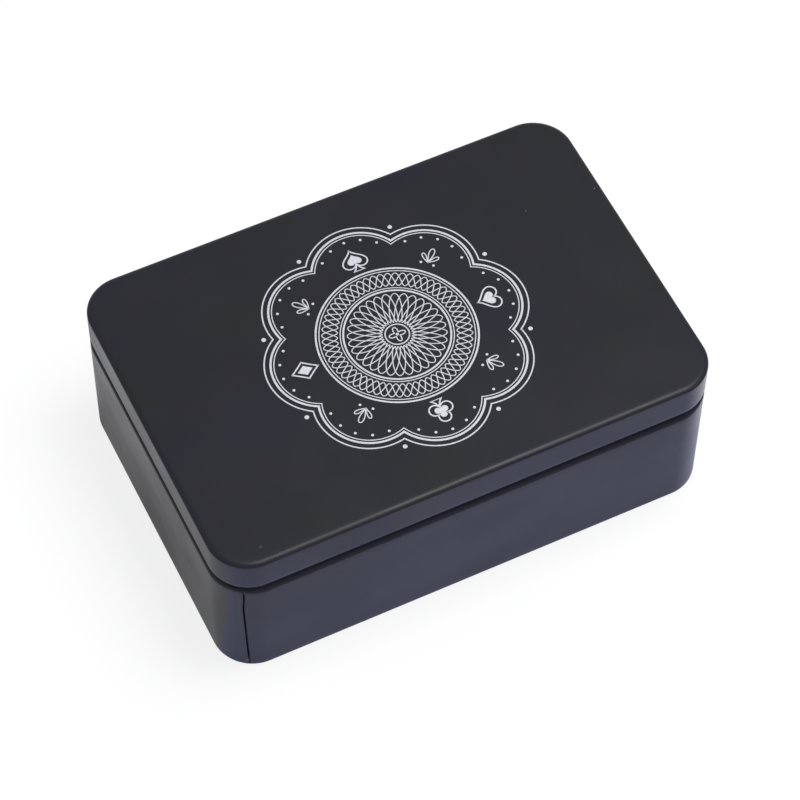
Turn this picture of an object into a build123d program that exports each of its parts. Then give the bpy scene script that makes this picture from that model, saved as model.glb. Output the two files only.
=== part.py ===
from build123d import *
import os

# A slip-lid tin for storing playing cards, in thin tinplate: a body with a side seam and a
# drawn-in neck, a base plate held in the body's folded bottom edge, and a lid cap that lifts off.
# Millimetres, +Z up. X runs along the length, and the front is on the -Y side.
# The origin is the middle of the rectangle that the tin stands on.

# Overall size with the lid on
length = 115.0
width = 79.0
height = 40.5
corner_radius = 9.1

# Tinplate, and how far a rolled edge is turned
sheet = 0.3
curl_turn = 250.0

# Lid cap: outer radius of its top edge, depth of its skirt, outer radius of its rolled bottom edge
lid_edge_radius = 1.2
skirt_depth = 8.7
lid_curl_radius = 0.6

# Body: gap between the skirt and the shoulder, play round the neck, rolled rim and its head room
lid_gap = 2.8
neck_clearance = 0.3
rim_curl_radius = 0.7
rim_clearance = 0.2

# Folded bottom edge of the body, and the base plate's flange that it holds
hem_height = 1.8
hem_inner_radius = 0.15
flange_bend_radius = 0.3
fold_inner_radius = 0.05
fold_margin = 0.2
seam_clearance = 0.05
panel_clearance = 0.1

# Raised middle of the base plate
step_inset = 7.0
step_corner_radius = 5.0
step_rise = 0.5
step_slope = 45.0

# Side seam, round the front left corner: its turn from the left side towards the front,
# the line that shows outside, the flattened folds behind it, and how far the folds stop short of
# the shoulder and the line stops short of the folds
seam_turn = 60.0
seam_line = 0.5
seam_width = 3.6
seam_layers = 3
seam_margin = 0.2

# Flat run of a swept edge before the flat panel takes over
edge_run = 1.0

# Places and middle-line radii that follow from the sizes above
wall_middle = length / 2 - sheet / 2
skirt_bottom = height - skirt_depth
wall_top = skirt_bottom - lid_gap
neck_inset = 2 * lid_curl_radius + neck_clearance
shoulder_radius = neck_inset / 2
rim_top = height - sheet - rim_clearance
hem_radius = hem_inner_radius + sheet / 2
flange_radius = flange_bend_radius + sheet / 2
fold_radius = fold_inner_radius + sheet / 2
flange_depth = 2 * fold_radius + sheet
flange_middle = wall_middle - sheet - seam_clearance
hem_width = flange_depth + 2 * seam_clearance + sheet
floor_bottom = hem_height + panel_clearance
panel_reach = flange_middle - flange_radius - edge_run
fold_centre = sheet + seam_clearance + fold_radius + sheet / 2
flange_run = floor_bottom + sheet / 2 - flange_radius - fold_centre


def run(distance):
    """A move straight on."""
    return distance, 0


def bend(radius, turn):
    """A move round an arc: its middle-line radius, and its turn in degrees, positive to the left."""
    return radius, turn


def draw_bent_sheet(start, heading, moves):
    """Draws the closed outline of a bent strip of tinplate in the active BuildLine.

    The strip's middle line starts at a point, faces a heading in degrees and makes its moves in
    turn. The strip's two faces lie half a sheet to the left and to the right of that line.
    """
    starts = []
    ends = []
    for offset in (sheet / 2, -sheet / 2):
        facing = heading
        point = Vector(*start) + Vector(offset, 0).rotate(Axis.Z, facing + 90)
        starts.append(point)
        for size, turn in moves:
            if turn == 0:
                edge = PolarLine(point, size, facing)
            else:
                radius = size - offset if turn > 0 else size + offset
                edge = JernArc(point, Vector(1, 0).rotate(Axis.Z, facing), radius, turn)
            point = edge @ 1
            facing += turn
        ends.append(point)
    Line(*starts)
    Line(*ends)


def draw_tin_outline():
    """Draws the tin's outer outline in the active BuildLine, from the middle of its right side."""
    middle = (length / 2, 0)
    edge = Line(middle, (length / 2, width / 2 - corner_radius))
    for side in (length, width, length):
        corner = JernArc(edge @ 1, edge % 1, corner_radius, 90)
        edge = PolarLine(corner @ 1, side - 2 * corner_radius, direction=corner % 1)
    corner = JernArc(edge @ 1, edge % 1, corner_radius, 90)
    Line(corner @ 1, middle)


def sweep_bent_sheet(start, heading, moves):
    """Carries a bent strip of tinplate round the tin, in the active BuildPart."""
    with BuildSketch(Plane.XZ) as section:
        with BuildLine():
            draw_bent_sheet(start, heading, moves)
        make_face()
    with BuildLine() as outline:
        draw_tin_outline()
    sweep(section.sketch, path=outline.wire())


def add_panel(inset, bottom):
    """Fills the tin's outline, drawn in by an inset, with one flat sheet from a height up."""
    with BuildSketch(Plane.XY.offset(bottom)) as panel:
        RectangleRounded(length - 2 * inset, width - 2 * inset, corner_radius - inset)
    extrude(panel.sketch, amount=sheet)


# Lid cap: panel, rounded edge, skirt and the edge rolled inwards at its foot
with BuildPart() as lid_shell:
    sweep_bent_sheet(
        start=(length / 2 - lid_edge_radius - edge_run, height - sheet / 2),
        heading=0,
        moves=[
            run(edge_run),
            bend(lid_edge_radius - sheet / 2, -90),
            run(skirt_depth - lid_edge_radius - lid_curl_radius),
            bend(lid_curl_radius - sheet / 2, -curl_turn),
        ],
    )
    add_panel(inset=lid_edge_radius + edge_run, bottom=height - sheet)
lid_shell.part.label = "lid_shell"

# Body wall: folded bottom edge, outer wall, shoulder, neck and the rim rolled inwards
with BuildPart() as body_wall:
    sweep_bent_sheet(
        start=(wall_middle - hem_width, hem_height),
        heading=-90,
        moves=[
            run(hem_height - sheet / 2 - hem_radius),
            bend(hem_radius, 90),
            run(hem_width - 2 * hem_radius),
            bend(hem_radius, 90),
            run(wall_top - sheet / 2 - hem_radius),
            bend(shoulder_radius, 90),
            bend(shoulder_radius, -90),
            run(rim_top - rim_curl_radius - wall_top - 2 * shoulder_radius),
            bend(rim_curl_radius - sheet / 2, curl_turn),
        ],
    )
    # The seam's line is cut through the wall, and the flattened folds close it from behind
    seam_corner = Location(
        (corner_radius - length / 2, corner_radius - width / 2, 0), (0, 0, 180 + seam_turn)
    )
    folds_bottom = floor_bottom + sheet + seam_clearance
    folds_top = wall_top - seam_margin
    with Locations(seam_corner * Location((corner_radius, 0, 0))):
        line_depth = sheet + seam_clearance
        Box(2 * line_depth, seam_line, 2 * (folds_top - seam_margin), mode=Mode.SUBTRACT)
    with BuildSketch(Plane(seam_corner).offset(folds_bottom)):
        Rectangle(corner_radius, seam_width, align=(Align.MIN, Align.CENTER))
        Circle(corner_radius - sheet, mode=Mode.INTERSECT)
        Circle(corner_radius - (1 + seam_layers) * sheet, mode=Mode.SUBTRACT)
    extrude(amount=folds_top - folds_bottom)
body_wall.part.label = "body_wall"

# Base plate: raised middle, edge bent down into a flange, and the flange folded double
with BuildPart() as base_plate:
    sweep_bent_sheet(
        start=(panel_reach, floor_bottom + sheet / 2),
        heading=0,
        moves=[
            run(edge_run),
            bend(flange_radius, -90),
            run(flange_run),
            bend(fold_radius, -180),
            run(flange_run - fold_margin),
        ],
    )
    add_panel(inset=length / 2 - panel_reach, bottom=floor_bottom)
    for bottom, mode in ((floor_bottom + sheet, Mode.ADD), (floor_bottom, Mode.SUBTRACT)):
        with BuildSketch(Plane.XY.offset(bottom)):
            RectangleRounded(length - 2 * step_inset, width - 2 * step_inset, step_corner_radius)
        extrude(amount=step_rise, taper=step_slope, mode=mode)
base_plate.part.label = "base_plate"

os.makedirs("parts", exist_ok=True)
for piece in (lid_shell, body_wall, base_plate):
    export_step(piece.part, f"parts/{piece.part.label}.step")
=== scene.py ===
import logging
from collections.abc import Callable
from dataclasses import dataclass, field
from enum import Enum

import bpy
import numpy as np
from mathutils import Matrix, Vector
from numpy.typing import NDArray


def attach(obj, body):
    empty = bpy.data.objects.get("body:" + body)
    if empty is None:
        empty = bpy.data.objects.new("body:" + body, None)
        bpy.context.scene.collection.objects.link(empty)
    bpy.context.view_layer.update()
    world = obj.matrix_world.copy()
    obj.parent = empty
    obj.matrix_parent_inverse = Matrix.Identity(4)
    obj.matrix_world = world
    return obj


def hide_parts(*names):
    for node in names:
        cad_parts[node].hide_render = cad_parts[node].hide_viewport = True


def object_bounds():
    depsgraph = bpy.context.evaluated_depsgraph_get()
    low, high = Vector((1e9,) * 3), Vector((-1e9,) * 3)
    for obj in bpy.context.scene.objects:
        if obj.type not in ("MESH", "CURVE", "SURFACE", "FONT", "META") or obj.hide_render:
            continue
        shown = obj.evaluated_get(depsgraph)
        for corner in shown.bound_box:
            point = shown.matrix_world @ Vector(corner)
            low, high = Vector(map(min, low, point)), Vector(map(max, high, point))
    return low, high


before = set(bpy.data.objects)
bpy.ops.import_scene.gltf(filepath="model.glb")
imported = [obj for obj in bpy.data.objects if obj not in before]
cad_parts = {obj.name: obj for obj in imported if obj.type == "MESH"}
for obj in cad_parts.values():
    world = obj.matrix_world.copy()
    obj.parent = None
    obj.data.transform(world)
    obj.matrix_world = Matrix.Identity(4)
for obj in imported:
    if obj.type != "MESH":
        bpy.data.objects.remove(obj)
cad_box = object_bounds()

LOG = logging.getLogger("card_tin")
Array = NDArray[np.float64]
Pair = tuple[float, float]
Triple = tuple[float, float, float]
Hill = tuple[float, float, float, float]
Node = bpy.types.Node
Socket = bpy.types.NodeSocket
Material = bpy.types.Material
Piece = bpy.types.Object

# Sizes in this file are in millimetres, and meshes are in metres
METRES = 0.001

# Thickness of the tinplate, and how far a rolled edge is turned, in degrees
SHEET = 0.3
CURL_TURN = 250.0

# Edges that turn more than this many degrees are shown sharp
CREASE = 35.0

# Height of the fine grain that finishes have, in metres
GRAIN_HEIGHT = 0.00001

WHITE = (1.0, 1.0, 1.0)
BLACK = (0.0, 0.0, 0.0)


class Side(Enum):
    """The two sides of the tinplate, as the material slots of a piece."""

    COATED = 0
    BARE = 1


@dataclass(frozen=True)
class Move:
    """One move of a bent sheet's middle line.

    Attributes:
        size: distance of a straight run, or middle-line radius of a bend, in millimetres.
        turn: degrees that a bend turns to the left, and 0 for a straight run.
        steps: mesh steps along the move.
    """

    size: float
    turn: float
    steps: int


@dataclass(frozen=True)
class BentSheet:
    """A strip of tinplate in section, drawn as the moves of its middle line.

    Attributes:
        start: where the middle line starts, as distance from the tin's middle and height.
        heading: degrees that it faces at the start, where 0 is outwards and 90 is up.
        moves: its moves in turn.
    """

    start: Pair
    heading: float
    moves: tuple[Move, ...]

    def faces(self) -> tuple[Array, Array]:
        """Works out the strip's left and right faces.

        A run is its start plus a share of the distance along the heading. A bend is its centre
        plus the radius along a unit vector that turns with the heading. Each face lies half the
        thickness from the middle line, along that line's left-hand normal.

        Returns:
            The left and the right face, each as rows of distance from the middle and height.
        """
        point = np.array(self.start, float)
        facing = np.radians(self.heading)
        lines = [point[None, :]]
        facings = [np.array([facing])]
        for move in self.moves:
            share = np.linspace(0.0, 1.0, move.steps + 1)[1:]
            turned = facing + np.radians(move.turn) * share
            if move.turn == 0:
                ahead = np.array([np.cos(facing), np.sin(facing)])
                line = point + np.outer(share * move.size, ahead)
            else:
                reach = move.size * np.sign(move.turn)
                centre = point + reach * np.array([-np.sin(facing), np.cos(facing)])
                line = centre + reach * np.stack([np.sin(turned), -np.cos(turned)], 1)
            lines.append(line)
            facings.append(turned)
            point = line[-1]
            facing = turned[-1]
        middle = np.concatenate(lines)
        facing_all = np.concatenate(facings)
        normal = np.stack([-np.sin(facing_all), np.cos(facing_all)], 1)
        return middle + normal * SHEET / 2, middle - normal * SHEET / 2


@dataclass(frozen=True)
class TinOutline:
    """The rounded rectangle that every sheet of the tin follows, seen from above.

    Attributes:
        seam_turn: degrees from the left side round the front left corner to the side seam.
        seam_reach: how far to each side of the seam more samples lie.
    """

    length: float
    width: float
    corner: float = 9.1
    seam_turn: float = 60.0
    side_step: float = 3.0
    bend_steps: int = 22
    seam_reach: float = 2.8
    seam_samples: int = 65
    least_step: float = 0.004
    round_power: float = 1.3

    def marks(self) -> Array:
        """Measures where along the outline its sides and corners end.

        Returns:
            Their distances from the middle of the right side, after a first 0.
        """
        half_x = self.length / 2 - self.corner
        half_y = self.width / 2 - self.corner
        bend = self.corner * np.pi / 2
        runs = (half_y, bend, 2 * half_x, bend, 2 * half_y, bend, 2 * half_x, bend, half_y)
        return np.concatenate([[0.0], np.cumsum(runs)])

    def seam(self) -> float:
        """Distance along the outline at which the side seam lies."""
        return self.marks()[5] + self.corner * np.radians(self.seam_turn)

    def stations(self) -> Array:
        """Chooses the distances at which sheets are sampled, close together round the seam.

        Returns:
            Distances in rising order, which start at 0 and stop before the closing point.
        """
        marks = self.marks()
        steps = [max(2, round(run / self.side_step)) for run in np.diff(marks)]
        steps[1::2] = [self.bend_steps] * len(steps[1::2])
        runs = [
            np.linspace(start, end, count, endpoint=False)
            for start, end, count in zip(marks[:-1], marks[1:], steps, strict=True)
        ]
        share = np.linspace(-1.0, 1.0, self.seam_samples)
        near_seam = self.seam() + self.seam_reach * share * np.abs(share)
        every = np.unique(np.round(np.concatenate([*runs, near_seam]), 4))
        return every[np.concatenate([[True], np.diff(every) > self.least_step])]

    def normals(self, along: Array) -> Array:
        """Outward unit normals at distances along the outline."""
        turned = np.interp(along, self.marks(), np.radians(np.repeat([0, 90, 180, 270, 360], 2)))
        return np.stack([np.cos(turned), np.sin(turned)], -1)

    def roundness(self, along: Array) -> Array:
        """Is 1 in the middle of each corner and falls to 0 at its ends, as a power of a sine."""
        turn = np.interp(along, self.marks(), np.repeat(np.arange(5), 2) * np.pi)
        return np.abs(np.sin(turn)) ** self.round_power

    def rings(self, along: Array, inset: Array, corner: Array) -> Array:
        """Places rounded rectangles that lie inside the outline.

        A point is the centre of its corner, plus the corner's radius along the normal. That
        centre slides along the straight sides and stays still round the bends.

        Args:
            along: distances along the outline, one for each column.
            inset: how far each ring's sides lie inside the outline, one for each row.
            corner: corner radius of each ring.

        Returns:
            The points, as rows of columns of x and y.
        """
        marks = self.marks()
        slide_x = np.interp(along, marks, [1, 1, 1, -1, -1, -1, -1, 1, 1, 1])
        slide_y = np.interp(along, marks, [0, 1, 1, 1, 1, -1, -1, -1, -1, 0])
        centre_x = np.outer(self.length / 2 - inset - corner, slide_x)
        centre_y = np.outer(self.width / 2 - inset - corner, slide_y)
        centre = np.stack([centre_x, centre_y], -1)
        return centre + corner[:, None, None] * self.normals(along)[None, :, :]


@dataclass
class Section:
    """The closed section that is carried round the tin: one ring of the mesh for each point.

    Attributes:
        reach, height: distance of each ring's right side from the middle, and its height.
        side: which side of the sheet each point is on.
        shrink: how far each ring is drawn in towards the tin's middle, from 1 to nearly 0.
        panel: 1 where a point lies on the flat panel, and 0 elsewhere.
    """

    reach: Array
    height: Array
    side: Array
    shrink: Array
    panel: Array

    @classmethod
    def of_strip(cls, strip: BentSheet, sides: tuple[Side, Side]) -> "Section":
        """Joins a strip's two faces into one closed loop.

        Args:
            strip: the strip.
            sides: which side of the tinplate its left and its right face are.

        Returns:
            The loop, along the left face and back along the right.
        """
        left, right = strip.faces()
        reach, height = np.concatenate([left, right[::-1]]).T
        side = np.repeat([sides[0].value, sides[1].value], [len(left), len(right)])
        return cls(reach, height, side, np.ones(len(side)), np.zeros(len(side)))

    def with_panels(self, rings: int, innermost: float = 0.04) -> "Section":
        """Extends both ends of the loop to the tin's middle, as the two faces of a flat panel.

        Args:
            rings: rings of mesh on each face of the panel.
            innermost: share of the panel's size that the first ring has.

        Returns:
            The longer section, whose first and last rings lie close round the middle.
        """
        drawn_in = np.linspace(innermost, 1.0, rings, endpoint=False)
        edges = [np.pad(row, rings, mode="edge") for row in (self.reach, self.height, self.side)]
        shrink = np.concatenate([drawn_in, self.shrink, drawn_in[::-1]])
        return Section(*edges, shrink, np.pad(self.panel, rings, constant_values=1.0))


def smooth_step(low: float, high: float, value: Array) -> Array:
    """Rises from 0 to 1 between low and high, as 3t squared less 2t cubed."""
    share = np.clip((value - low) / (high - low), 0.0, 1.0)
    return share * share * (3 - 2 * share)


def smooth_hill(marks: Hill, value: Array) -> Array:
    """Rises from 0 to 1 between the first two marks, and falls back between the last two."""
    return smooth_step(marks[0], marks[1], value) * (1 - smooth_step(marks[2], marks[3], value))


def ring_quads(rings: int, columns: int) -> NDArray[np.int64]:
    """Joins each ring of points to the next, and the last to the first, with faces.

    Args:
        rings: how many rings there are.
        columns: points of each ring.

    Returns:
        The four point numbers of each face, by ring and column.
    """
    here = np.arange(rings * columns).reshape(rings, columns)
    above = np.roll(here, -1, 0)
    return np.stack([np.roll(here, -1, 1), np.roll(above, -1, 1), above, here], -1)


def in_scene(name: str, data: bpy.types.ID) -> Piece:
    """Puts a new object into the scene.

    Args:
        name: the object's name.
        data: its mesh, lamp or camera.

    Returns:
        The object.
    """
    thing = bpy.data.objects.new(name, data)
    bpy.context.scene.collection.objects.link(thing)
    return thing


def new_piece(name: str, vertices: Array, faces: list, slots: list[Material]) -> Piece:
    """Makes a shown object from points in millimetres, at the origin of the scene.

    Args:
        name: the piece's name.
        vertices: points in millimetres, one row each.
        faces: rows of point numbers, counter-clockwise from outside.
        slots: materials for the piece's slots.

    Returns:
        The object, smooth-shaded up to its creases.
    """
    mesh = bpy.data.meshes.new(name)
    mesh.from_pydata((vertices * METRES).tolist(), [], faces)
    mesh.polygons.foreach_set("use_smooth", np.ones(len(mesh.polygons), bool))
    mesh.set_sharp_from_angle(angle=np.radians(CREASE))
    for material in slots:
        mesh.materials.append(material)
    mesh.update()
    return in_scene(name, mesh)


class NodeDesk:
    """Adds and joins the nodes of one tree."""

    def __init__(self, owner: Material | bpy.types.World) -> None:
        """Starts on an empty tree.

        Args:
            owner: the material or world whose nodes they are.
        """
        owner.use_nodes = True
        self.owner = owner
        self.tree = owner.node_tree
        self.tree.nodes.clear()

    def add(self, kind: str, inputs: dict | None = None, **settings: object) -> Node:
        """Adds a node.

        Args:
            kind: the node's type, which Blender starts with ShaderNode.
            inputs: a value, or an output to join, for each named or numbered input.
            settings: the node's own properties.

        Returns:
            The node.
        """
        node = self.tree.nodes.new("ShaderNode" + kind)
        for key, value in settings.items():
            setattr(node, key, value)
        for key, value in (inputs or {}).items():
            if isinstance(value, Socket):
                self.tree.links.new(value, node.inputs[key])
            else:
                node.inputs[key].default_value = value
        return node

    def spread(self, value: Socket, low: float, high: float, start: float, end: float) -> Socket:
        """Maps low to high onto start to end, smoothly."""
        inputs = {"Value": value, 1: low, 2: high, 3: start, 4: end}
        return self.add("MapRange", inputs, interpolation_type="SMOOTHSTEP").outputs["Result"]

    def blend(self, share: Socket, first: object, second: object) -> Socket:
        """Blends two colours, or outputs, by a share. The node's inputs 6 and 7 are colours."""
        inputs = {"Factor": share, 6: first, 7: second}
        return self.add("Mix", inputs, data_type="RGBA").outputs[2]

    def mix_shaders(self, share: object, first: Node, second: Node) -> Node:
        """Mixes two shaders by a share."""
        return self.add("MixShader", {0: share, 1: first.outputs[0], 2: second.outputs[0]})

    def shown(self) -> Socket:
        """Tells what is seen from soft light.

        Returns:
            1 for what is seen straight, in a gloss or through glass, and 0 for soft light.
        """
        path = self.add("LightPath")
        share = path.outputs["Is Camera Ray"]
        for kind in ("Is Glossy Ray", "Is Transmission Ray"):
            inputs = {0: share, 1: path.outputs[kind]}
            share = self.add("Math", inputs, operation="MAXIMUM").outputs[0]
        return share


@dataclass(frozen=True)
class Grain:
    """A noise that a finish varies by: waves to the metre, and the part of it that counts."""

    waves: float
    detail: float
    low: float = 0.0
    high: float = 1.0
    stretch: Triple | None = None
    roughness: float = 0.55


class ShaderDesk(NodeDesk):
    """The nodes of one material."""

    def __init__(self, name: str) -> None:
        """Starts a material, with Object coordinates in metres."""
        super().__init__(bpy.data.materials.new(name))
        self.place = self.add("TexCoord").outputs["Object"]

    def noise(self, grain: Grain) -> Socket:
        """Adds a grain's noise.

        Args:
            grain: the grain.

        Returns:
            The noise, from 0 to 1.
        """
        vector = self.place
        if grain.stretch is not None:
            inputs = {"Vector": vector, "Scale": grain.stretch}
            vector = self.add("Mapping", inputs).outputs["Vector"]
        inputs = {"Vector": vector, "Scale": grain.waves, "Detail": grain.detail}
        inputs["Roughness"] = grain.roughness
        return self.add("TexNoise", inputs).outputs["Fac"]

    def varied(self, grain: Grain, start: float = 0.0, end: float = 1.0) -> Socket:
        """Varies a value from start to end by a grain."""
        return self.spread(self.noise(grain), grain.low, grain.high, start, end)

    def bump(self, height: Socket, strength: float) -> Socket:
        """Makes a fine bump of a height from 0 to 1."""
        inputs = {"Height": height, "Strength": strength, "Distance": GRAIN_HEIGHT}
        return self.add("Bump", inputs).outputs["Normal"]

    def dress(self, inputs: dict) -> Material:
        """Adds the Principled shader.

        Args:
            inputs: a value, or an output to join, for each named input.

        Returns:
            The material.
        """
        shader = self.add("BsdfPrincipled", inputs)
        self.add("OutputMaterial", {"Surface": shader.outputs[0]})
        return self.owner


def opaque(colour: Triple) -> tuple[float, ...]:
    """A colour with full cover."""
    return (*colour, 1.0)


@dataclass(frozen=True)
class Mark:
    """A small pale speck in the lacquer. Its place and radius are in millimetres."""

    place: Triple
    radius: float
    strength: float


@dataclass(frozen=True)
class MatteCoat:
    """Matte black lacquer on tinplate, printed flat and baked before the sheet is bent.

    Attributes:
        drift: the colour that it drifts to in patches.
        smudge_gloss: roughness that smudges add, at the least and at the most.
        gap_light: a paler, bluer colour painted where the mesh's attribute of that name is 1:
            painted light that lifts the shade in a recess, such as the gap under the lid.
        gap_dulling: roughness added with that painted light, in full once the attribute is
            fully_dull.
    """

    name: str
    colour: Triple
    drift: Triple
    roughness: float = 0.37
    ior: float = 1.27
    patches: Grain = Grain(28.0, 3.0, 0.38, 0.62)
    smudges: Grain = Grain(46.0, 4.0, 0.35, 0.7, (1.0, 1.0, 1.6))
    smudge_gloss: Pair = (-0.03, 0.04)
    peel: Grain = Grain(2600.0, 2.0)
    peel_strength: float = 0.25
    marks: tuple[Mark, ...] = ()
    mark_colour: Triple = (0.09, 0.09, 0.11)
    mark_core: float = 0.3
    gap_light: Triple | None = None
    gap_dulling: float = 0.6
    fully_dull: float = 0.25

    def material(self) -> Material:
        """Builds the lacquer.

        Returns:
            The material.
        """
        desk = ShaderDesk(self.name)
        colour = desk.blend(desk.varied(self.patches), opaque(self.colour), opaque(self.drift))
        for mark in self.marks:
            ends = {0: desk.place, 1: [value * METRES for value in mark.place]}
            distance = desk.add("VectorMath", ends, operation="DISTANCE").outputs["Value"]
            reach = mark.radius * METRES
            near = desk.spread(distance, self.mark_core * reach, reach, mark.strength, 0.0)
            colour = desk.blend(near, colour, opaque(self.mark_colour))
        gloss = desk.varied(self.smudges, *(self.roughness + more for more in self.smudge_gloss))
        # Painted light: where the mesh's attribute is set, the colour turns paler and bluer to lift the
        # shade in a recess, and the roughness rises
        if self.gap_light is not None:
            gap_light = desk.add("Attribute", attribute_name="gap_light").outputs["Fac"]
            colour = desk.blend(gap_light, colour, opaque(self.gap_light))
            dull = desk.spread(gap_light, 0.0, self.fully_dull, 0.0, self.gap_dulling)
            gloss = desk.add("Math", {0: gloss, 1: dull}, operation="ADD").outputs[0]
        normal = desk.bump(desk.noise(self.peel), self.peel_strength)
        inputs = {"Base Color": colour, "Roughness": gloss, "Normal": normal, "Metallic": 0.0}
        return desk.dress(inputs | {"IOR": self.ior})


@dataclass(frozen=True)
class BareTinplate:
    """Uncoated tinplate: bright, faintly streaked along the way that it was rolled."""

    name: str
    colour: Triple = (0.66, 0.65, 0.62)
    streak: Triple = (0.56, 0.55, 0.53)
    roughness: float = 0.34
    streaks: Grain = Grain(3200.0, 3.0, stretch=(0.03, 1.0, 1.0))
    cloud: Grain = Grain(90.0, 3.0, 0.3, 0.7)
    cloud_gloss: Pair = (-0.06, 0.08)
    streak_strength: float = 0.2

    def material(self) -> Material:
        """Builds the metal.

        Returns:
            The material.
        """
        desk = ShaderDesk(self.name)
        streaks = desk.noise(self.streaks)
        colour = desk.blend(streaks, opaque(self.colour), opaque(self.streak))
        gloss = desk.varied(self.cloud, *(self.roughness + more for more in self.cloud_gloss))
        normal = desk.bump(streaks, self.streak_strength)
        inputs = {"Base Color": colour, "Roughness": gloss, "Normal": normal, "Metallic": 1.0}
        return desk.dress(inputs)


@dataclass(frozen=True)
class SilverInk:
    """Silver printing ink, a little grainy where it takes unevenly."""

    name: str = "silver_ink"
    colour: Triple = (0.56, 0.56, 0.58)
    thin: Triple = (0.40, 0.40, 0.43)
    roughness: float = 0.5
    metallic: float = 0.15
    grain: Grain = Grain(5200.0, 2.0, 0.35, 0.65)

    def material(self) -> Material:
        """Builds the ink.

        Returns:
            The material.
        """
        desk = ShaderDesk(self.name)
        colour = desk.blend(desk.varied(self.grain), opaque(self.colour), opaque(self.thin))
        inputs = {"Base Color": colour, "Roughness": self.roughness, "Metallic": self.metallic}
        return desk.dress(inputs)


@dataclass(frozen=True)
class SheetPiece:
    """A piece made by carrying a closed section round the tin's outline.

    Attributes:
        least_corner: corner radius below which no ring goes, however far in it lies.
    """

    name: str
    outline: TinOutline
    section: Section
    least_corner: float = 0.0

    def grid(self) -> Array:
        """Places the section's points round the outline.

        Returns:
            Points in millimetres, as a ring for each point of the section.
        """
        along = self.outline.stations()
        inset = self.outline.length / 2 - self.section.reach
        corner = np.maximum(self.outline.corner - inset, self.least_corner)
        flat = self.outline.rings(along, inset, corner) * self.section.shrink[:, None, None]
        height = np.broadcast_to(self.section.height[:, None], flat.shape[:2])
        return np.concatenate([flat, height[:, :, None]], -1)

    def build(self, grid: Array, coat: MatteCoat, inside: str) -> Piece:
        """Joins the grid's rings with faces and makes the piece.

        Args:
            grid: points in millimetres, ring by ring.
            coat: the lacquer on its coated side.
            inside: name of the bare tinplate on its other side.

        Returns:
            The closed piece, whose panels, if it has any, end in a fan round their middle.
        """
        rings, columns = grid.shape[:2]
        panelled = self.section.panel[0] > 0
        rows = rings - 1 if panelled else rings
        faces = ring_quads(rings, columns)[:rows].reshape(-1, 4).tolist()
        vertices = grid.reshape(-1, 3)
        side = np.repeat(self.section.side[:rows], columns)
        if panelled:
            pole = len(vertices)
            column = np.arange(columns)
            beside = np.roll(column, -1)
            last = (rings - 1) * columns
            near_fan = np.stack([beside, column, np.full(columns, pole)], 1)
            far_fan = np.stack([last + column, last + beside, np.full(columns, pole + 1)], 1)
            faces += near_fan.tolist() + far_fan.tolist()
            vertices = np.concatenate([vertices, [grid[0].mean(0), grid[-1].mean(0)]])
            side = np.concatenate([side, np.repeat(self.section.side[[0, -1]], columns)])
        slots = [coat.material(), BareTinplate(inside).material()]
        piece = new_piece(self.name, vertices, faces, slots)
        piece.data.polygons.foreach_set("material_index", side.astype(np.int32))
        return piece


@dataclass
class LidCap:
    """The slip lid: panel, rounded edge, skirt and the edge rolled inwards at its foot.

    Attributes:
        edge_bends: outer radius and turn of each bend of its top edge, from the panel down.
        crown: how far the panel's middle stands above its edge.
    """

    outline: TinOutline
    height: float
    edge_bends: tuple[Pair, ...] = ((8.0, 4.0), (1.95, 30.0), (0.55, 56.0))
    skirt_depth: float = 8.7
    curl_radius: float = 0.6
    crown: float = 0.06
    ink: float = 0.02
    coat: MatteCoat = MatteCoat(
        "lid_lacquer",
        (0.0080, 0.0083, 0.0105),
        (0.0074, 0.0074, 0.0140),
        marks=(
            Mark((55.9, 16.2, 40.4), 0.3, 0.8),
            Mark((39.5, 17.1, 40.45), 0.24, 0.8),
            Mark((-47.8, -35.5, 40.4), 0.5, 0.3),
        ),
    )

    def panel_height(self, flat: Array) -> Array:
        """Works out the height of the panel's top.

        It falls from the middle as the product of 1 - x squared and 1 - y squared, with x and y
        as shares of the panel's half size.

        Args:
            flat: points of x and y.

        Returns:
            The height over each point.
        """
        half_size = np.array([self.outline.length, self.outline.width]) / 2 - self.edge_bends[-1][0]
        dome = np.clip(1 - (flat / half_size) ** 2, 0, 1).prod(-1)
        return self.height - self.ink - self.crown * (1 - dome)

    def build(self) -> Piece:
        """Builds the lid and lays it on its body.

        Returns:
            The piece.
        """
        top = self.height - self.ink - self.crown
        foot = self.height - self.skirt_depth
        radii, turns = np.array(self.edge_bends).T
        turned = np.radians(np.concatenate([[0.0], np.cumsum(turns)]))
        edge_reach = float(radii @ np.diff(np.sin(turned)))
        edge_drop = float(radii @ -np.diff(np.cos(turned)))
        strip = BentSheet(
            (self.outline.length / 2 - edge_reach, top - SHEET / 2),
            0,
            (
                *(Move(radius - SHEET / 2, -turn, 8) for radius, turn in self.edge_bends),
                Move(top - edge_drop - foot - self.curl_radius, 0, 8),
                Move(self.curl_radius - SHEET / 2, -CURL_TURN, 20),
            ),
        )
        section = Section.of_strip(strip, (Side.COATED, Side.BARE)).with_panels(16)
        sheet_piece = SheetPiece("lid_shell_sheet", self.outline, section)
        grid = sheet_piece.grid()
        grid[..., 2] += (self.panel_height(grid[..., :2]) - top) * section.panel[:, None]
        piece = sheet_piece.build(grid, self.coat, "lid_inside")
        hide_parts("lid_shell")
        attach(piece, "lid")
        return piece


def full_turn(steps: int) -> Array:
    """Angles in even steps round a full turn, in radians."""
    return np.linspace(0, 2 * np.pi, steps, endpoint=False)


def polar(angle: Array | float, reach: Array | float) -> Array:
    """Turns directions in radians and reaches into points."""
    return np.stack([reach * np.cos(angle), reach * np.sin(angle)], -1)


def out_to(side: float, distance: float) -> Array:
    """The point that lies at a distance from the origin, in a direction in degrees."""
    return polar(np.radians(side), distance)


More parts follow.
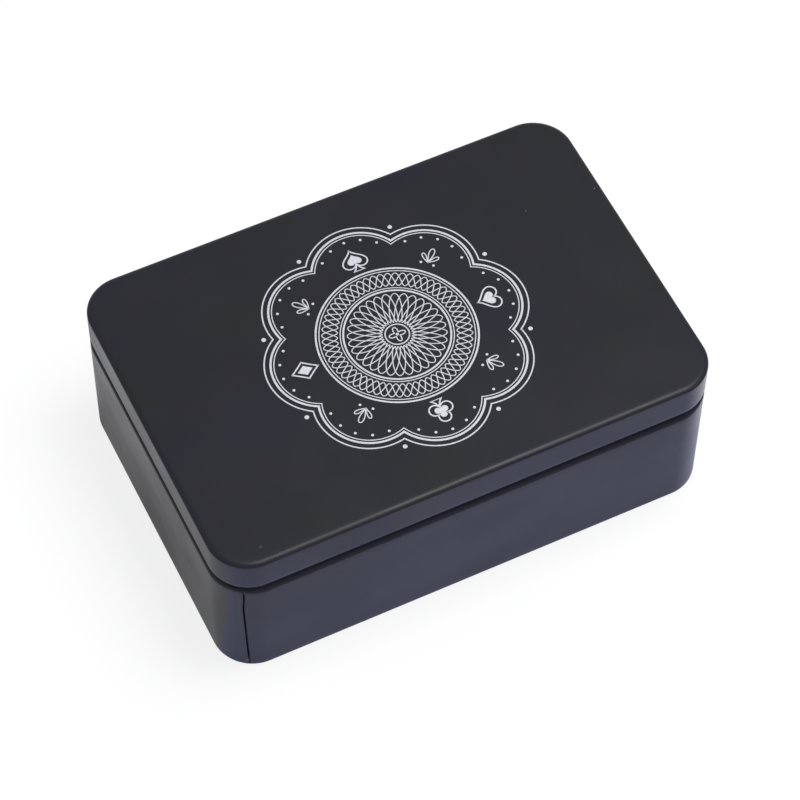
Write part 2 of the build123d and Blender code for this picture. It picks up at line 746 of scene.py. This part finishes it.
def rotated(points: Array, degrees: float) -> Array:
    """Turns points counter-clockwise round the origin."""
    turn = np.radians(degrees)
    return points @ np.array([[np.cos(turn), np.sin(turn)], [-np.sin(turn), np.cos(turn)]])


def discs_reach(angle: Array, distance: float, sides: Array | tuple, radius: float) -> Array:
    """Works out how far a ring of discs reaches from the origin.

    Args:
        angle: directions from the origin, in radians.
        distance: how far each disc's centre lies from the origin.
        sides: where the discs lie, in degrees.
        radius: their radius.

    Returns:
        The reach of the outermost disc along each direction, and 0 where none is met.
    """
    away = angle - np.radians(sides)[:, None]
    inside = radius**2 - (distance * np.sin(away)) ** 2
    reach = distance * np.cos(away) + np.sqrt(np.maximum(inside, 0.0))
    return np.where(inside > 0, np.maximum(reach, 0.0), 0.0).max(0)


def on_stem(crown: Array, waist: float = 0.1, flare: float = 0.38, foot: float = -1.15) -> Array:
    """Stands a suit's crown on a stem whose half width grows with the square of the way down.

    Args:
        crown: closed outline that starts at its lowest middle and runs counter-clockwise.
        waist: half width of the stem's top.
        flare: how much wider each half is at the foot.
        foot: height of the foot.

    Returns:
        The outline of both together.
    """
    kept = crown[(np.abs(crown[:, 0]) > waist) | (crown[:, 1] > 0)]
    down = np.linspace(0.0, 1.0, 12)
    half = waist + flare * down**2
    left = np.stack([-half, kept[-1, 1] + (foot - kept[-1, 1]) * down], -1)
    right = np.stack([half, kept[0, 1] + (foot - kept[0, 1]) * down], -1)[::-1]
    return np.concatenate([kept, left, right])


class Suit(Enum):
    """The four suits, by where they stand round the medallion, in degrees."""

    SPADE = 90
    HEART = 0
    CLUB = 270
    DIAMOND = 180

    def outline(self, steps: int = 240) -> Array:
        """Draws the suit with its top along +Y.

        A heart is x = -16 sine cubed of t and y = 13 cos t - 5 cos 2t - 2 cos 3t - cos 4t, moved
        up by 2.5 and over 15. A spade is a heart upside down and a club is the outermost reach
        of three discs, both on a stem. A diamond is a superellipse, whose sines and cosines are
        raised to the power 2.1.

        Args:
            steps: points round the outline.

        Returns:
            A closed outline about 2 across, counter-clockwise.
        """
        t = full_turn(steps)
        sway = 13 * np.cos(t) - 5 * np.cos(2 * t) - 2 * np.cos(3 * t) - np.cos(4 * t) + 2.5
        heart = np.stack([-16 * np.sin(t) ** 3, sway], -1) / 15
        if self is Suit.HEART:
            return heart
        if self is Suit.DIAMOND:
            circle = polar(t, 1.0)
            return np.sign(circle) * np.abs(circle) ** 2.1 * [0.85, 1.15]
        if self is Suit.SPADE:
            return on_stem(-heart * [1.0, 0.95] + [0, 0.12])
        angle = t - np.pi / 2
        return on_stem(polar(angle, discs_reach(angle, 0.56, (90, 205, 335), 0.5)))


@dataclass
class InkSheet:
    """Printed strokes and filled shapes, as one thin raised mesh that follows the lid's top.

    Attributes:
        surface: height of the lid's top over points of x and y.
        middle: where the print's own origin lies on the lid.
        margin: how far the highest layer stays below the ink's full thickness.
        sharpest: least cosine of half a line's turn for which it keeps its width.
    """

    surface: Callable[[Array], Array]
    thickness: float
    middle: Pair = (0.12, -0.23)
    sunk: float = 0.02
    layers: int = 6
    layer_step: float = 0.0015
    margin: float = 0.001
    sharpest: float = 0.6
    vertices: list[Array] = field(default_factory=list)
    faces: list[list[int]] = field(default_factory=list)

    def raised(self, flat: Array, high: bool) -> Array:
        """Sets points on the ink's upper or lower face.

        Strokes lie at several heights in turn, so that no two that cross lie in one plane.

        Args:
            flat: points of x and y in the print's own place.
            high: whether they are on the upper face.

        Returns:
            The points in the tin's place.
        """
        moved = flat + self.middle
        below_top = self.layer_step * (self.layers - 1 - len(self.vertices) % self.layers)
        lift = self.thickness - self.margin - below_top if high else -self.sunk
        return np.concatenate([moved, (self.surface(moved) + lift)[:, None]], 1)

    def add(self, points: Array, faces: list[list[int]]) -> None:
        """Adds a stroke or shape to the mesh.

        Args:
            points: its points.
            faces: rows of numbers of its own points.
        """
        first = sum(len(block) for block in self.vertices)
        self.faces += [[first + corner for corner in face] for face in faces]
        self.vertices.append(points)

    def line(self, path: Array, width: float) -> None:
        """Draws a closed line.

        Each point is set out to both sides by half the width along the normal of the chord
        between its neighbours, lengthened where the line turns sharply.

        Args:
            path: the closed line's points.
            width: its width in millimetres.
        """
        ahead = np.roll(path, -1, 0) - path
        ahead /= np.linalg.norm(ahead, axis=1)[:, None]
        chord = ahead + np.roll(ahead, 1, 0)
        chord /= np.linalg.norm(chord, axis=1)[:, None]
        normal = np.stack([-chord[:, 1], chord[:, 0]], 1)
        mitre = 1 / np.clip((chord * ahead).sum(1), self.sharpest, 1.0)
        offset = normal * mitre[:, None] * width / 2
        corners = ((offset, False), (-offset, False), (-offset, True), (offset, True))
        points = np.concatenate([self.raised(path + side, high) for side, high in corners])
        self.add(points, ring_quads(len(corners), len(path)).reshape(-1, 4).tolist())

    def shape(self, outline: Array) -> None:
        """Fills a closed outline.

        Args:
            outline: its points, counter-clockwise.
        """
        points = np.concatenate([self.raised(outline, False), self.raised(outline, True)])
        here = np.arange(len(outline))
        above = here + len(outline)
        sides = np.stack([here, np.roll(here, -1), np.roll(above, -1), above], -1)
        self.add(points, [here[::-1].tolist(), above.tolist(), *sides.tolist()])

    def dot(self, spot: Array, radius: float, steps: int = 14) -> None:
        """Fills a small disc."""
        self.shape(spot + polar(full_turn(steps), radius))


@dataclass(frozen=True)
class Weave:
    """Evenly shifted closed lines of so many waves each, which cross round the middle."""

    middle: float
    swing: float
    waves: int
    lines: int
    width: float
    steps: int = 60

    def draw(self, sheet: InkSheet) -> None:
        """Draws the lines, whose reach is the middle plus the swing times a cosine.

        Args:
            sheet: the ink that they are drawn in.
        """
        angle = full_turn(self.steps * self.waves)
        for phase in full_turn(self.lines):
            reach = self.middle + self.swing * np.cos(self.waves * angle + phase)
            sheet.line(polar(angle, reach), self.width)


@dataclass
class Medallion:
    """The silver line print on the lid: a lobed frame, the four suits and a woven rosette.

    Pairs are a distance or inset and a line width or dot's radius, and leans are in degrees.
    """

    lid: LidCap
    lobes: int = 8
    lobe_distance: float = 17.8
    lobe_radius: float = 12.0
    frames: tuple[Pair, ...] = ((0.0, 0.3), (1.35, 0.46), (2.05, 0.22))
    notch_dots: Pair = (28.3, 0.5)
    lobe_dots: Pair = (8.7, 0.31)
    lobe_leans: tuple[float, ...] = (-48, -24, 0, 24, 48)
    suit_distance: float = 21.5
    suit_size: float = 2.6
    suit_width: float = 0.32
    suit_core: float = 0.58
    leaf_leans: tuple[Pair, ...] = ((-42, 1.35), (0, 1.9), (42, 1.35))
    leaf_inset: float = 1.6
    leaf_width: float = 0.24
    foot_dots: Triple = (4.2, 1.9, 0.3)
    rings: tuple[Pair, ...] = ((17.3, 0.4), (16.6, 0.22), (12.1, 0.22), (11.45, 0.4))
    band: Weave = Weave(14.35, 1.65, 20, 3, 0.21)
    rosette: Weave = Weave(6.9, 3.7, 8, 4, 0.21)
    eye: Pair = (2.6, 0.28)
    heart: Weave = Weave(1.25, 0.6, 4, 1, 0.25)
    centre_dot: float = 0.34

    def frame(self, inset: float) -> Array:
        """Draws a lobed frame: the outermost reach of discs set round the middle.

        Args:
            inset: how far it lies inside the outermost frame.

        Returns:
            A closed line.
        """
        angle = full_turn(720)
        sides = np.degrees(full_turn(self.lobes))
        radius = self.lobe_radius - inset
        return polar(angle, discs_reach(angle, self.lobe_distance, sides, radius))

    def circle(self, radius: float) -> Array:
        """Draws a circle round the middle."""
        return polar(full_turn(360), radius)

    def placed(self, outline: Array, side: float, distance: float) -> Array:
        """Sets an outline out from the middle, with its top outwards."""
        return rotated(outline, side - 90) + out_to(side, distance)

    def sprig(self, sheet: InkSheet, side: float) -> None:
        """Draws a sprig of three leaves with a dot on each side of its foot.

        A leaf is y = 1 - cos t and x = -0.42 sin t times the sine of t / 2 to the power 1.5.

        Args:
            sheet: the ink that it is drawn in.
            side: where it stands round the medallion, in degrees.
        """
        t = full_turn(60)
        leaf = np.stack([-0.42 * np.sin(t) * np.sin(t / 2) ** 1.5, 1 - np.cos(t)], -1)
        for lean, length in self.leaf_leans:
            blade = rotated(leaf * length, lean)
            start = self.suit_distance - self.leaf_inset
            sheet.line(self.placed(blade, side, start), self.leaf_width)
        lean, inset, radius = self.foot_dots
        for turn in (-lean, lean):
            sheet.dot(out_to(side + turn, self.suit_distance - inset), radius)

    def build(self) -> Piece:
        """Prints the medallion on the lid.

        Returns:
            The print, as one piece.
        """
        sheet = InkSheet(self.lid.panel_height, self.lid.ink)
        for inset, width in self.frames:
            sheet.line(self.frame(inset), width)
        step = 360 / self.lobes
        for side in np.arange(self.lobes) * step:
            distance, radius = self.notch_dots
            sheet.dot(out_to(side + step / 2, distance), radius)
            distance, radius = self.lobe_dots
            for lean in self.lobe_leans:
                sheet.dot(out_to(side, self.lobe_distance) + out_to(side + lean, distance), radius)
        for suit in Suit:
            outline = self.placed(suit.outline() * self.suit_size, suit.value, self.suit_distance)
            sheet.line(outline, self.suit_width)
            core = suit.outline() * self.suit_size * self.suit_core
            sheet.shape(self.placed(core, suit.value, self.suit_distance))
        for side in (45, 135, 225, 315):
            self.sprig(sheet, side)
        for radius, width in self.rings:
            sheet.line(self.circle(radius), width)
        self.band.draw(sheet)
        self.rosette.draw(sheet)
        radius, width = self.eye
        sheet.line(self.circle(radius), width)
        self.heart.draw(sheet)
        sheet.dot(np.zeros(2), self.centre_dot)
        ink = SilverInk().material()
        piece = new_piece("lid_print", np.concatenate(sheet.vertices), sheet.faces, [ink])
        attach(piece, "lid")
        return piece


@dataclass(frozen=True)
class SeamBand:
    """An upright band of the wall at the seam, with soft edges.

    Attributes:
        push: how far it stands out, below 0 where it lies in.
        left, right: its sides, to the right of the seam as seen from outside.
        foot, drop: height of its lower end, and how far its upper end lies below the wall's top.
    """

    push: float
    left: float
    right: float
    side_fade: float
    foot: float
    drop: float
    end_fade: float

    def relief(self, away: Array, height: Array, top: float) -> Array:
        """Works out the push, which is full in the band and falls smoothly to 0 past its edges.

        Args:
            away: how far to the right of the seam each point lies.
            height: height of each point.
            top: height of the wall's top.

        Returns:
            The push of each point, in millimetres.
        """
        sides = (self.left - self.side_fade, self.left, self.right, self.right + self.side_fade)
        end = top - self.drop
        ends = (self.foot - self.end_fade, self.foot, end, end + self.end_fade)
        return self.push * smooth_hill(sides, away) * smooth_hill(ends, height)


@dataclass
class BodyWall:
    """The body's wall: folded bottom edge, outer wall, shoulder, neck, rolled rim and side seam.

    Attributes:
        line, deep_line: the groove that shows at the seam, and its deeper middle stretch.
        lip, folds: the faint lip on the groove's left, and the flattened folds on the inside.
        seam_lean: how far the groove leans to the left for each millimetre over straight_at.
        seam_return: how far it swings back to the right under the shoulder.
        returns, lifted, gap_lit_heights: heights over the wall's top between which that swing,
            the corners' lift and the painted light in the gap under the lid come and go.
        ends_unlit: share of that painted light left off the two short sides.
    """

    lid: LidCap
    lid_gap: float = 2.8
    neck_inset: float = 1.5
    rim_curl_radius: float = 0.7
    rim_clearance: float = 0.2
    hem_height: float = 1.8
    hem_radius: float = 0.3
    hem_width: float = 1.1
    line: SeamBand = SeamBand(-0.27, -0.16, 0.16, 0.05, 1.3, -0.8, 1.0)
    deep_line: SeamBand = SeamBand(-0.7, -0.16, 0.16, 0.05, 2.7, 1.0, 0.3)
    lip: SeamBand = SeamBand(0.05, -0.9, -0.16, 0.35, 0.6, 0.4, 0.6)
    folds: SeamBand = SeamBand(-0.9, -1.8, 1.8, 0.15, 2.3, 0.6, 0.3)
    seam_lean: float = 0.025
    straight_at: float = 8.0
    seam_return: float = 0.4
    returns: Pair = (-7.0, 1.0)
    corner_lift: float = 0.8
    lifted: Hill = (-6.0, 0.0, 1.6, 4.5)
    # Painted light: heights over the wall's top where a paler, bluer coat lifts the shade in the gap
    # under the lid
    gap_lit_heights: Hill = (0.2, 1.5, 2.0, 2.5)
    ends_unlit: float = 0.88
    coat: MatteCoat = MatteCoat(
        "wall_lacquer",
        (0.0082, 0.0090, 0.0150),
        (0.0090, 0.0095, 0.0130),
        marks=(Mark((-53.12, -38.18, 1.95), 0.6, 1.0),),
        # Painted light: this paler, bluer colour lifts the shade in the gap under the lid
        gap_light=(0.054, 0.057, 0.086),
    )

    def wall_top(self) -> float:
        """Height at which the outer wall turns into the shoulder."""
        return self.lid.height - self.lid.skirt_depth - self.lid_gap

    def section(self) -> Section:
        """Works out the wall's section, from its folded foot to its rolled rim.

        Returns:
            The closed section, whose first face is inside the tin.
        """
        middle = self.lid.outline.length / 2 - SHEET / 2
        wall_top = self.wall_top()
        shoulder = self.neck_inset / 2
        rim_top = self.lid.height - SHEET - self.rim_clearance
        strip = BentSheet(
            (middle - self.hem_width, self.hem_height),
            -90,
            (
                Move(self.hem_height - SHEET / 2 - self.hem_radius, 0, 2),
                Move(self.hem_radius, 90, 8),
                Move(self.hem_width - 2 * self.hem_radius, 0, 2),
                Move(self.hem_radius, 90, 8),
                Move(wall_top - SHEET / 2 - self.hem_radius, 0, 20),
                Move(shoulder, 90, 12),
                Move(shoulder, -90, 12),
                Move(rim_top - self.rim_curl_radius - wall_top - self.neck_inset, 0, 4),
                Move(self.rim_curl_radius - SHEET / 2, CURL_TURN, 20),
            ),
        )
        return Section.of_strip(strip, (Side.BARE, Side.COATED))

    def seam_push(self, section: Section, along: Array, height: Array) -> Array:
        """Works out how far the seam pushes each point of the wall outwards.

        Args:
            section: the wall's section, one point for each row.
            along: distances along the outline, one for each column.
            height: height of each point.

        Returns:
            The push of each point, in millimetres.
        """
        top = self.wall_top()
        behind_seam = (along - self.lid.outline.seam())[None, :]
        away = behind_seam + self.seam_lean * (height - self.straight_at)
        away = away - self.seam_return * smooth_step(*self.returns, height - top)
        depth = self.lid.outline.length / 2 - section.reach[:, None]
        on_wall = depth < SHEET / 2 + self.hem_radius
        coated = section.side[:, None] == Side.COATED.value
        bands = (self.line, self.deep_line, self.lip)
        relief = sum(band.relief(away, height, top) for band in bands)
        folds = self.folds.relief(behind_seam, height, top)
        return on_wall * np.where(coated, relief, folds)

    def gap_light_share(self, section: Section, along: Array) -> Array:
        """Works out how much painted light each point gets, on the shoulder and neck.

        The light is a paler, bluer coat that lifts the shade in the gap under the lid.

        Args:
            section: the wall's section, one point for each row.
            along: distances along the outline, one for each column.

        Returns:
            The share of painted light at each point, from 0 to 1.
        """
        gap_light = smooth_hill(self.gap_lit_heights, section.height - self.wall_top())
        # Less of that painted light goes on the two short sides
        kept = self.ends_unlit * self.lid.outline.normals(along)[:, 0] ** 2
        return np.outer(gap_light, 1 - kept)

    def build(self) -> Piece:
        """Builds the wall, with its lifted corners and its seam, and stands it on its body.

        Returns:
            The piece.
        """
        outline = self.lid.outline
        section = self.section()
        sheet_piece = SheetPiece("body_wall_sheet", outline, section)
        along = outline.stations()
        grid = sheet_piece.grid()
        near_shoulder = smooth_hill(self.lifted, grid[..., 2] - self.wall_top())
        grid[..., 2] += self.corner_lift * outline.roundness(along)[None, :] * near_shoulder
        push = self.seam_push(section, along, grid[..., 2])
        grid[..., :2] += push[..., None] * outline.normals(along)[None, :, :]
        piece = sheet_piece.build(grid, self.coat, "wall_inside")
        # The share of painted gap light is stored on the mesh, for the lacquer to read
        shares = piece.data.attributes.new("gap_light", "FLOAT", "POINT")
        shares.data.foreach_set("value", self.gap_light_share(section, along).ravel())
        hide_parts("body_wall")
        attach(piece, "tin_body")
        return piece


@dataclass
class BasePlate:
    """The base plate: raised middle, edge bent down and folded double inside the wall's foot."""

    outline: TinOutline
    panel_bottom: float = 1.9
    flange_reach: float = 57.0
    flange_radius: float = 0.45
    flange_run: float = 0.9
    fold_radius: float = 0.2
    fold_margin: float = 0.2
    step_inset: float = 7.0
    step_corner: float = 5.0
    step_rise: float = 0.5
    step_turn: float = 45.0
    coat: MatteCoat = MatteCoat("base_lacquer", (0.0115, 0.0125, 0.0190), (0.0125, 0.0130, 0.0180), 0.5)

    def build(self) -> Piece:
        """Builds the plate and holds it in its body.

        Returns:
            The piece.
        """
        turned = np.radians(self.step_turn)
        step_radius = self.step_rise / (2 - 2 * np.cos(turned))
        step_reach = self.outline.length / 2 - self.step_inset
        start = step_reach - 2 * step_radius * np.sin(turned)
        strip = BentSheet(
            (start, self.panel_bottom + SHEET / 2 + self.step_rise),
            0,
            (
                Move(step_radius, -self.step_turn, 6),
                Move(step_radius, self.step_turn, 6),
                Move(self.flange_reach - self.flange_radius - step_reach, 0, 3),
                Move(self.flange_radius, -90, 8),
                Move(self.flange_run, 0, 2),
                Move(self.fold_radius, -180, 10),
                Move(self.flange_run - self.fold_margin, 0, 2),
            ),
        )
        section = Section.of_strip(strip, (Side.BARE, Side.COATED)).with_panels(12)
        sheet_piece = SheetPiece("base_plate_sheet", self.outline, section, self.step_corner)
        grid = sheet_piece.grid()
        piece = sheet_piece.build(grid, self.coat, "base_inside")
        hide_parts("base_plate")
        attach(piece, "tin_body")
        return piece


@dataclass(frozen=True)
class SoftBox:
    """A soft box, aimed at the tin. Its place and sides are in metres."""

    name: str
    place: Triple
    watts: float
    colour: Triple = WHITE
    size: Pair = (0.3, 0.2)

    def build(self) -> None:
        """Hangs the soft box."""
        data = bpy.data.lights.new(self.name, "AREA")
        data.shape = "RECTANGLE"
        data.size, data.size_y = self.size
        data.energy = self.watts
        data.color = self.colour
        lamp = in_scene(self.name, data)
        lamp.location = self.place
        lamp.rotation_euler = (-Vector(self.place)).to_track_quat("-Z", "Y").to_euler()


@dataclass(frozen=True)
class LightPool:
    """A pool of reflected light on the floor, seen in the tin's sides and not by the camera.

    Its middle and reach are in metres, and it is even over a share of its reach.
    """

    middle: Pair
    reach: Pair
    colour: Triple
    even: float = 0.2

    def glow(self, desk: NodeDesk, place: Socket) -> Socket:
        """Lights the pool, which fades smoothly to nothing at its edge.

        Args:
            desk: the floor's nodes.
            place: places on the floor, in metres.

        Returns:
            The colour of the light.
        """
        scale = (1 / self.reach[0], 1 / self.reach[1], 0.0)
        shift = (-self.middle[0] * scale[0], -self.middle[1] * scale[1], 0.0)
        moved = desk.add("Mapping", {"Vector": place, "Scale": scale, "Location": shift})
        away = desk.add("VectorMath", {0: moved.outputs[0]}, operation="LENGTH")
        faded = desk.spread(away.outputs["Value"], self.even, 1.0, 0.0, 1.0)
        return desk.blend(faded, opaque(self.colour), opaque(BLACK))


@dataclass(frozen=True)
class Studio:
    """White paper, soft boxes overhead, soft light all round and the camera.

    Attributes:
        azimuth, elevation: degrees from +Y towards +X, and degrees down, that the camera looks.
        clip, paper_reach: how near and far it sees, and half the paper's side, in metres.
        whiteness, gloss_whiteness: white in the paper, for the camera and for the tin's gloss.
    """

    aim: Triple = (-0.181, -2.567, 18.67)
    distance: float = 715.7
    azimuth: float = 26.53
    elevation: float = 56.389
    roll: float = 0.823
    focal_length: float = 148.4685
    sensor: float = 36.0
    clip: Pair = (0.01, 50.0)
    room: Triple = (0.58, 0.58, 0.62)
    paper: Triple = (0.9, 0.9, 0.9)
    paper_reach: float = 4.0
    whiteness: float = 0.8
    gloss_whiteness: float = 0.37
    boxes: tuple[SoftBox, ...] = (
        SoftBox("high_box", (0.15, 0.0, 1.0), 3.2, (0.95, 0.96, 1.0)),
        SoftBox("low_box", (0.2, -0.06, 0.6), 1.8),
    )
    pools: tuple[LightPool, ...] = (
        LightPool((0.089, -0.012), (0.0345, 0.068), (1.07, 1.07, 1.08)),
        LightPool((0.0, -0.085), (0.2, 0.059), (0.03, 0.06, 0.46), 0.86),
        LightPool((0.0, -0.04), (0.12, 0.018), (0.13, 0.13, 0.15)),
        LightPool((-0.0685, 0.037), (0.0115, 0.054), (0.33, 0.33, 0.345)),
    )

    def camera(self) -> None:
        """Sets up the camera at the photograph's angle."""
        data = bpy.data.cameras.new("camera")
        data.lens = self.focal_length
        data.sensor_width = self.sensor
        data.clip_start, data.clip_end = self.clip
        azimuth, elevation, roll = np.radians([self.azimuth, self.elevation, self.roll])
        level = np.cos(elevation)
        ahead = Vector((np.sin(azimuth) * level, np.cos(azimuth) * level, -np.sin(elevation)))
        right = Vector((np.cos(azimuth), -np.sin(azimuth), 0.0))
        up = right.cross(ahead)
        turned_right = right * np.cos(roll) + up * np.sin(roll)
        turned_up = up * np.cos(roll) - right * np.sin(roll)
        matrix = Matrix((turned_right, turned_up, -ahead)).transposed().to_4x4()
        matrix.translation = (Vector(self.aim) - ahead * self.distance) * METRES
        camera = in_scene("camera", data)
        camera.matrix_world = matrix
        bpy.context.scene.camera = camera

    def floor(self) -> None:
        """Lays the floor: white paper that keeps the tin's shadow, with the pools of light on it."""
        material = bpy.data.materials.new("floor_paper")
        desk = NodeDesk(material)
        place = desk.add("TexCoord").outputs["Object"]
        paper = desk.add("BsdfDiffuse", {"Color": opaque(self.paper)})
        white = desk.add("Emission", {"Color": opaque(WHITE)})
        shown = desk.mix_shaders(self.whiteness, paper, white)
        pooled = desk.mix_shaders(self.gloss_whiteness, paper, white)
        for pool in self.pools:
            glow = desk.add("Emission", {"Color": pool.glow(desk, place)})
            pooled = desk.add("AddShader", {0: pooled.outputs[0], 1: glow.outputs[0]})
        path = desk.add("LightPath")
        seen = desk.mix_shaders(desk.shown(), paper, pooled)
        seen = desk.mix_shaders(path.outputs["Is Camera Ray"], seen, shown)
        desk.add("OutputMaterial", {"Surface": seen.outputs[0]})
        corners = np.array([[-1, -1, 0], [1, -1, 0], [1, 1, 0], [-1, 1, 0]])
        reach = self.paper_reach / METRES
        new_piece("floor", corners * reach, [[0, 1, 2, 3]], [material])

    def world(self) -> None:
        """Surrounds the tin with the room's soft light, and shows white behind it."""
        world = bpy.data.worlds.new("studio")
        bpy.context.scene.world = world
        desk = NodeDesk(world)
        soft = desk.add("Background", {"Color": opaque(self.room)})
        white = desk.add("Background", {"Color": opaque(WHITE)})
        seen = desk.mix_shaders(desk.shown(), soft, white)
        desk.add("OutputWorld", {"Surface": seen.outputs[0]})

    def build(self) -> None:
        """Sets the stage."""
        self.camera()
        self.floor()
        self.world()
        for box in self.boxes:
            box.build()
        bpy.context.scene.view_settings.view_transform = "Standard"


def main() -> None:
    """Builds the tin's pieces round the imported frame, and the studio."""
    logging.basicConfig(level=logging.INFO, format="%(message)s")
    low, high = cad_box
    length, width, height = [(b - a) / METRES for a, b in zip(low, high, strict=True)]
    outline = TinOutline(length, width)
    lid = LidCap(outline, height)
    for part in (lid, Medallion(lid), BodyWall(lid), BasePlate(outline)):
        piece = part.build()
    Studio().build()


if __name__ == "__main__":
    main()
